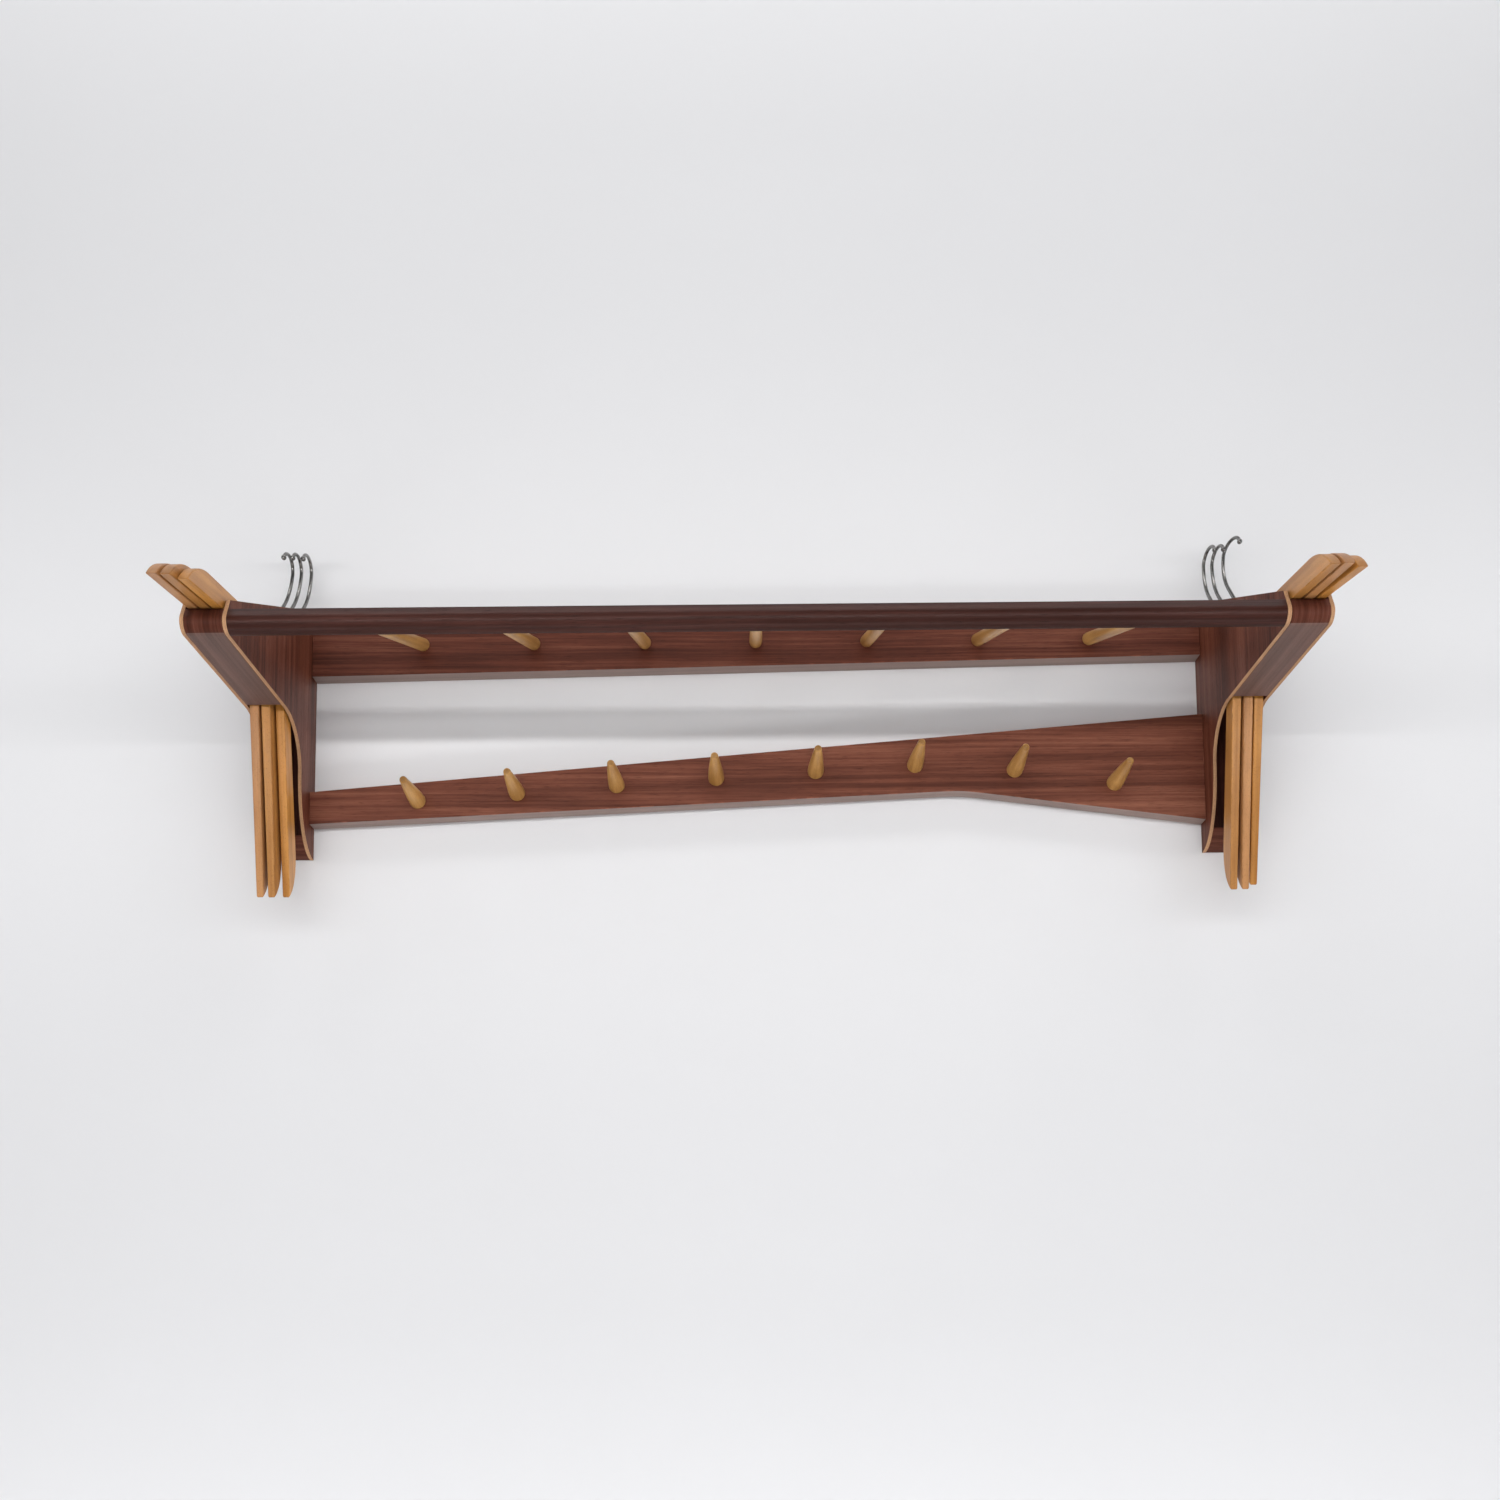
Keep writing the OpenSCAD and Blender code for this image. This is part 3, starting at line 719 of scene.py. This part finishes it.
def front_bar():
    """Front bar of the shelf, with a painted highlight along the rounded edge where its underside meets its
    back.
    """
    lo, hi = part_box("front_bar")
    bm = ease_edges(prism(bar_outline(), side_place, lo.x, hi.x), BAR_EDGE, 4)
    # Painted highlight: the rounding between the underside and the back is made pale
    paint_underlight(bm, 1.0, lambda normal: normal.z < -0.2 and normal.y > 0.2)
    return finish_piece(bm, "front_bar_piece", "front_bar", "rack", BAR_WOOD.material,
                        along_axis((1, 0, 0), (0, 0, 1)), ends_along((1, 0, 0)))


def rung_profile():
    """Shelf rung from its tenon in the rail to its thinner tenon in the front bar."""
    span = (BAR_BACK - RAIL_T) / math.cos(RUNG_SLOPE)
    straight, steps = 0.008, 14
    taper = [(RUNG_R + (RUNG_TIP_R - RUNG_R) * i / steps, straight + (span - 2 * straight) * i / steps)
             for i in range(1, steps)]
    return [(0, -TENON_SHOWN), (RUNG_R, -TENON_SHOWN), (RUNG_R, straight), *taper,
            (RUNG_TIP_R, span - straight), (RUNG_TIP_R, span + TENON_SHOWN), (0, span + TENON_SHOWN)]


def peg_profile():
    """Coat peg: tenon, shoulder, hollow taper and rounded tip."""
    profile = [(0, -TENON_SHOWN), (TENON_R, -TENON_SHOWN), (TENON_R, -0.0001),
               (PEG_R - 0.0004, -0.0001), (PEG_R, 0.0004)]
    for i in range(1, 24):
        t = i / 24
        profile.append((PEG_R + (PEG_TIP_R - PEG_R) * t ** 1.35, t * (PEG_L - PEG_TIP_ROUND)))
    for a in range(0, 91, 10):
        sweep = math.radians(a)
        profile.append((PEG_TIP_R - PEG_TIP_ROUND * (1 - math.cos(sweep)),
                        PEG_L - PEG_TIP_ROUND * (1 - math.sin(sweep))))
    return profile + [(0, PEG_L + 0.0001)]


def turned_piece(node, profile, start, tilt):
    """A rung or peg from start along the tilted axis, its grain turned at random about it."""
    axis = tilt @ Vector((0, 0, 1))
    twist = Matrix.Rotation(random.uniform(0, 2 * math.pi), 3, axis)
    bm = lathe(profile, lambda v: start + tilt @ v, 48)
    bm.faces.layers.float.new("wear")
    across = twist @ (tilt @ Vector((1, 0, 0)))
    return finish_piece(bm, node + "_piece", node, "rack", TURNED_BEECH.material,
                        along_axis(axis, across, start), ends_along(axis))


def rungs_and_pegs():
    """All the shelf's rungs and the lower rail's pegs, each where its CAD node is."""
    down_to_bar = Matrix.Rotation(math.pi / 2 + RUNG_SLOPE, 3, "X")
    out_of_wall = Matrix.Rotation(math.pi / 2, 3, "X")
    for node in sorted(frame["nodes"]):
        if node.startswith("shelf_rung_"):
            lo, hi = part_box(node)
            turned_piece(node, rung_profile(), row((lo.x + hi.x) / 2, RAIL_T, RUNG_H), down_to_bar)
        elif node.startswith("coat_peg_"):
            lo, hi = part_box(node)
            start = Vector(((lo.x + hi.x) / 2, -RAIL_T, (lo.z + hi.z) / 2))
            turned_piece(node, peg_profile(), start, out_of_wall)


# ---- Hangers and hooks ----

def hanger_frame(name):
    """Maps a hanger's own (u, v, sideways) to the row: u runs along its upper arm, -v down the lower."""
    lean = math.radians(LEAN[name])
    depth = HANGER_D - PUSHED_BACK[name]
    height = LIP_H + REST_GAP + (front_at(LIP_H) - depth) * math.tan(lean) + ARM_W / 2 / math.cos(lean)
    lo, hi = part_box(name)
    x = (lo.x + hi.x) / 2
    c, s = math.cos(lean), math.sin(lean)

    def place(u, v, sideways=0.0):
        return row(x + sideways, depth + u * c + v * s, height - u * s + v * c)

    def back(p):
        d, h = -p.y - depth, p.z - FOOT_Z - height
        return Vector((d * c - h * s, d * s + h * c)), p.x - x
    return place, back


def thin_tips(bm, name):
    """Rounds the tips of a hanger sideways, the lower arm's more than the upper's."""
    back = hanger_frame(name)[1]
    lo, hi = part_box(name)
    middle = (lo.x + hi.x) / 2
    for vertex in bm.verts:
        q = back(vertex.co)[0]
        for reach, much in ((q.x, UPPER_TIP_THINNING), (-q.y, LOWER_TIP_THINNING)):
            t = (reach - (ARM_L - TIP_STRETCH)) / TIP_STRETCH
            if t > 0:
                thinned = math.sqrt(1 - (much * min(t, 1.0) ** 1.6) ** 2)
                vertex.co.x = middle + (vertex.co.x - middle) * thinned


def hanger(name, material):
    """Bent-wood V with eased edges and rounded tips; its grain follows the bend."""
    place, back = hanger_frame(name)
    half = HANGER_T / 2
    bm = prism(hanger_outline(), lambda p, t: place(p[0], p[1], t), -half, half)
    ease_edges(bm, HANGER_EDGE)
    thin_tips(bm, name)
    bend = corner((ARM_L, 0), (0, 0), (0, -ARM_L), CROWN_R, 12)
    path = [Vector((ARM_L, 0)), *bend, Vector((0, -ARM_L))]
    upper, lower = place(1, 0) - place(0, 0), place(0, -1) - place(0, 0)

    def ends(polygon):
        q = back(polygon.center)[0]
        along = upper if q.x > -q.y else lower
        return min(1.0, 1.8 * polygon.normal.dot(along) ** 2) if max(q.x, -q.y) > ARM_L - TIP_L else 0.0
    return finish_piece(bm, name + "_piece", name, name, material, along_path(path, back), ends)


def hook_path():
    """Centre line of the wire as (across, along) the stem, with the wire's radius at each point."""
    stem_steps, bend_steps, eye_steps, ball_steps = 10, 18, 48, 16
    path = [(0, -STEM_DEPTH + (STEM_L + STEM_DEPTH) * k / stem_steps) for k in range(stem_steps + 1)]
    radii = [STEM_R] * len(path)
    for k in range(1, bend_steps + 1):
        a = BEND_ANGLE * k / bend_steps
        path.append((BEND_R - BEND_R * math.cos(a), STEM_L + BEND_R * math.sin(a)))
    eye = (BEND_R - (BEND_R - EYE_R) * math.cos(BEND_ANGLE), STEM_L + (BEND_R - EYE_R) * math.sin(BEND_ANGLE))
    for k in range(1, eye_steps + 1):
        a = BEND_ANGLE + EYE_SWEEP * k / eye_steps
        path.append((eye[0] - EYE_R * math.cos(a), eye[1] + EYE_R * math.sin(a)))
    radii += [WIRE_R] * (len(path) - len(radii))
    ball, ahead = Vector(path[-1]), (Vector(path[-1]) - Vector(path[-2])).normalized()
    outside = [k for k, p in enumerate(path) if (Vector(p) - ball).length > BALL_R]
    path, radii = [path[k] for k in outside], [radii[k] for k in outside]
    start = math.pi - math.asin(WIRE_R / BALL_R)
    for k in range(ball_steps + 1):
        # The last ring stops just short of the ball's pole, so that it keeps a width
        a = start * (1 - k / (ball_steps + 0.02))
        path.append(tuple(ball + ahead * BALL_R * math.cos(a)))
        radii.append(BALL_R * math.sin(a))
    return path, radii


def hook(end, i):
    """Steel hook standing square to the crown of its hanger, then turned and leaned."""
    hanger_name, name = f"{end}_hanger_{i}", f"{end}_hook_{i}"
    place = hanger_frame(hanger_name)[0]
    rise = CROWN_R - (CROWN_R + ARM_W / 2) / math.sqrt(2)
    root = math.sqrt(0.5)
    side = -1 if end == "left" else 1
    lean = Matrix.Rotation(side * math.radians(HOOK_LEAN[name]), 3, "X")
    turn = Matrix.Rotation(side * math.radians(HOOK_TURN[name]), 3, "Y")

    def stem_place(a, b, c=0.0):
        a, b, c = lean @ turn @ Vector((a, b, c))
        return place(rise + (a - b) * root, -rise + (a + b) * root, -c)
    path, radii = hook_path()
    points = [stem_place(*p) for p in path]
    across = (stem_place(0, 0, -1) - stem_place(0, 0)).normalized()
    bm = tube(points, radii, across, 20)
    bm.faces.layers.float.new("wear")
    line = [Vector(p) for p in path]
    start, along = stem_place(0, 0), (stem_place(0, 1) - stem_place(0, 0)).normalized()
    out = (stem_place(1, 0) - stem_place(0, 0)).normalized()
    grain = along_path(line, lambda p: (Vector(((p - start).dot(out), (p - start).dot(along))),
                                        (p - start).dot(across)))
    return finish_piece(bm, name + "_piece", name, name, STEEL.material, grain)


def brass_screws(end):
    """The cheek screws stay as the CAD has them, in brass."""
    screws = frame["nodes"][end + "_cheek_screws"]
    screws.data.materials.clear()
    screws.data.materials.append(BRASS.material)


for side, end in ((-1, "left"), (1, "right")):
    cheek(side, inner=False)
    cheek(side, inner=True)
    tray_floor(end)
    back_board(end)
    toe_block(end)
upper_rail()
lower_rail()
front_bar()
rungs_and_pegs()
for k, end in enumerate(("left", "right")):
    for i in (1, 2, 3):
        hanger(f"{end}_hanger_{i}", HANGER_BEECH[(i + k + 1) % 3].material)
        hook(end, i)
    brass_screws(end)


# ---- Stage: pale wall and floor, soft light, camera ----

def plane(name, corners):
    mesh = bpy.data.meshes.new(name)
    mesh.from_pydata(corners, [], [(0, 1, 2, 3)])
    made = bpy.data.objects.new(name, mesh)
    bpy.context.collection.objects.link(made)
    return made


def stage_material(name, colour, see_through_back):
    """Plain pale paint. The wall's is open from behind, so the back of the rack can be seen and lit."""
    s = Shader(name)
    cloud = s.noise(s.node("TexCoord", output="Object"), 1.3, 3.0)
    s.set(Base_Color=s.mix(s.span(cloud, 0.3, 0.7, 0.0, 0.06), colour, shade(colour, 0.9)),
          Roughness=0.9, Specular_IOR_Level=0.1)
    if see_through_back:
        behind = s.node("NewGeometry", output="Backfacing")
        shadow = s.node("LightPath", output="Is Shadow Ray")
        clear = s.node("BsdfTransparent")
        both = s.node("MixShader", {0: s.math("MAXIMUM", behind, shadow), 1: s.surface.outputs[0], 2: clear})
        out = next(n for n in s.tree.nodes if n.type == "OUTPUT_MATERIAL")
        s.put(out.inputs[0], both)
    return s.material


def wall_and_floor():
    """Wall just behind the rack, and a floor that runs on behind it for the views of the back."""
    half, top, foot, room, y = 4.0, 3.0, -1.75, 5.0, 0.0006
    wall = plane("wall", [(-half, y, foot), (half, y, foot), (half, y, top), (-half, y, top)])
    wall.data.materials.append(stage_material("wall_paint", (0.80, 0.80, 0.81), True))
    floor = plane("floor", [(-half, -room, foot), (half, -room, foot),
                            (half, room, foot), (-half, room, foot)])
    floor.data.materials.append(stage_material("floor_paint", (0.78, 0.78, 0.79), False))


def area_light(name, place, aim, size, power, colour=(1, 1, 1)):
    """Soft light of a width and height, aimed at a point and left out of the picture itself."""
    data = bpy.data.lights.new(name, "AREA")
    data.shape, data.size, data.size_y = "RECTANGLE", size[0], size[1]
    data.energy, data.color = power, colour
    made = bpy.data.objects.new(name, data)
    bpy.context.collection.objects.link(made)
    made.location = place
    made.rotation_euler = (Vector(aim) - Vector(place)).to_track_quat("-Z", "Y").to_euler()
    made.visible_camera = False


def add_lights():
    """Soft lights in front, one behind for the back, and washes for the wall above and below."""
    middle = (0, 0, -0.2)
    area_light("key", (-0.9, -3.0, 0.7), middle, (2.6, 1.6), 6.8, (1.0, 0.985, 0.96))
    area_light("fill_right", (2.6, -2.2, 0.3), middle, (1.8, 2.2), 3.7)
    area_light("fill_low", (-0.2, -2.6, -1.6), middle, (3.0, 1.0), 6.0)
    area_light("wash_low", (0, -0.7, -1.72), (0, 0, -1.2), (3.4, 0.4), 23)
    area_light("wash_top", (0, -0.9, 1.8), (0, 0, 1.15), (3.4, 0.4), 25)
    area_light("behind", (0.3, 2.6, 1.2), middle, (2.4, 1.8), 26)
    # Narrow and just below the front bar's level: it casts the bar's sharp shadow on the wall
    strip_z = FOOT_Z + 0.138
    area_light("strip", (0, -0.80, strip_z), (0, 0, strip_z), (3.2, 0.02), 6.8)


def set_studio():
    """Dim even light all round, and plain colours without a film look."""
    world = bpy.data.worlds.new("studio")
    bpy.context.scene.world = world
    world.use_nodes = True
    background = world.node_tree.nodes["Background"]
    background.inputs["Color"].default_value = (0.95, 0.96, 1.0, 1)
    background.inputs["Strength"].default_value = 0.28
    bpy.context.scene.view_settings.view_transform = "Standard"
    bpy.context.scene.view_settings.exposure = 0.0


def place_camera():
    """Camera low and in front, tilted up a little; lens shift gives the rest of the rise."""
    pitch, yaw, roll = math.radians(5.0), math.radians(0.183), math.radians(-0.429)
    data = bpy.data.cameras.new("camera")
    camera = bpy.data.objects.new("camera", data)
    bpy.context.collection.objects.link(camera)
    camera.location = (-0.0057, -1.6174, -0.8000)
    camera.rotation_euler = (Matrix.Rotation(yaw, 3, "Z") @ Matrix.Rotation(math.pi / 2 + pitch, 3, "X")
                             @ Matrix.Rotation(roll, 3, "Z")).to_euler()
    data.sensor_width, data.lens = 36.0, 33.39
    data.shift_x, data.shift_y = -0.0004, 0.2833
    bpy.context.scene.camera = camera


wall_and_floor()
add_lights()
set_studio()
place_camera()
